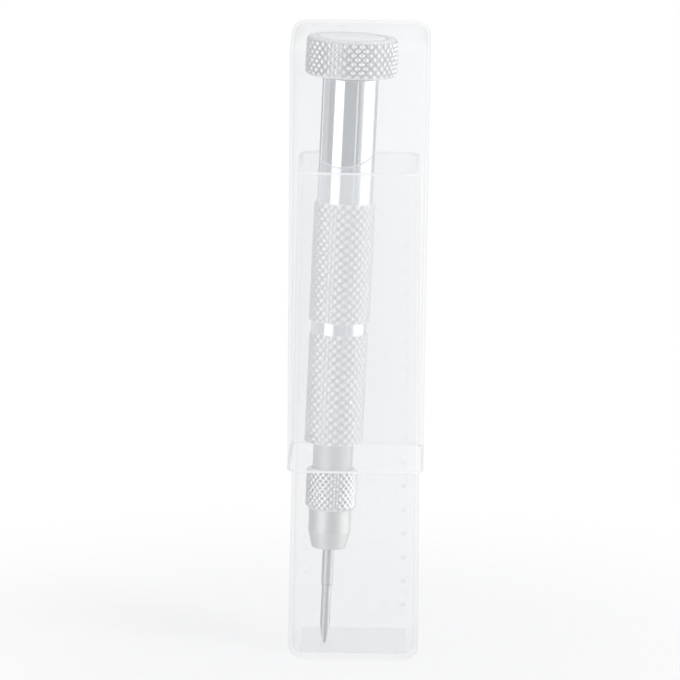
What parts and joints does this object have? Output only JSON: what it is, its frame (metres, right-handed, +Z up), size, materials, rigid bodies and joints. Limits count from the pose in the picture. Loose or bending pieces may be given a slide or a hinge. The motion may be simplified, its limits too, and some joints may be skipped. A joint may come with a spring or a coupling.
{
  "type": "pocket screwdriver",
  "caption": "Pocket screwdriver with a revolving knurled head, hollow handle and collet chuck, leaning in its clear square telescoping case.",
  "frame": {"origin": "centre of the closed case's foot, on the surface that it stands on", "axes": "+Z up along the case, +X to the right and +Y away from the front"},
  "size_m": [0.023, 0.023, 0.1041],
  "materials": {
    "clear_plastic": "frosted clear polypropylene, blow moulded",
    "polished_chrome": "polished chrome plate",
    "knurled_chrome": "diamond knurl, plated",
    "satin_nickel": "satin, fine turned",
    "hardened_steel": "ground steel",
    "bearing_brass": "turned brass"
  },
  "bodies": {
    "case_base": {"case_base": "clear_plastic"},
    "case_cap": {"case_cap": "clear_plastic"},
    "driver": {"barrel": "polished_chrome", "upper_grip": "knurled_chrome", "lower_grip": "knurled_chrome", "chuck_body": "satin_nickel", "end_plug": "bearing_brass", "pivot_screw": "hardened_steel", "thrust_washer": "bearing_brass", "spring_washer": "hardened_steel", "blade": "hardened_steel", "spare_blade_wide": "hardened_steel", "spare_blade_narrow": "hardened_steel", "spare_blade_cross": "hardened_steel", "collet": "hardened_steel"},
    "head": {"head_knob": "knurled_chrome", "head_cover": "polished_chrome"},
    "chuck": {"chuck_nose": "satin_nickel", "chuck_collar": "knurled_chrome"}
  },
  "joints": [
    {"name": "cap_slide", "type": "slide", "parent": "case_base", "child": "case_cap", "axis": [0, 0, 1], "range_m": [0, 0.16]},
    {"name": "driver_lift", "type": "slide", "parent": "case_base", "child": "driver", "axis": [0, 0, 1], "range_m": [0, 0.086]},
    {"name": "head_turn", "type": "hinge", "parent": "driver", "child": "head", "pos_m": [-0.00159, 0.0027, 0.09606], "axis": [0.0346, 0.0536, 0.998], "continuous": true},
    {"name": "chuck_turn", "type": "hinge", "parent": "driver", "child": "chuck", "pos_m": [-0.00409, -0.00118, 0.02385], "axis": [0.0346, 0.0536, 0.998], "range_deg": [0, 540]}
  ],
  "couplings": [
    {"joint": "driver_lift", "follows": "cap_slide", "ratio": 0.53}
  ]
}
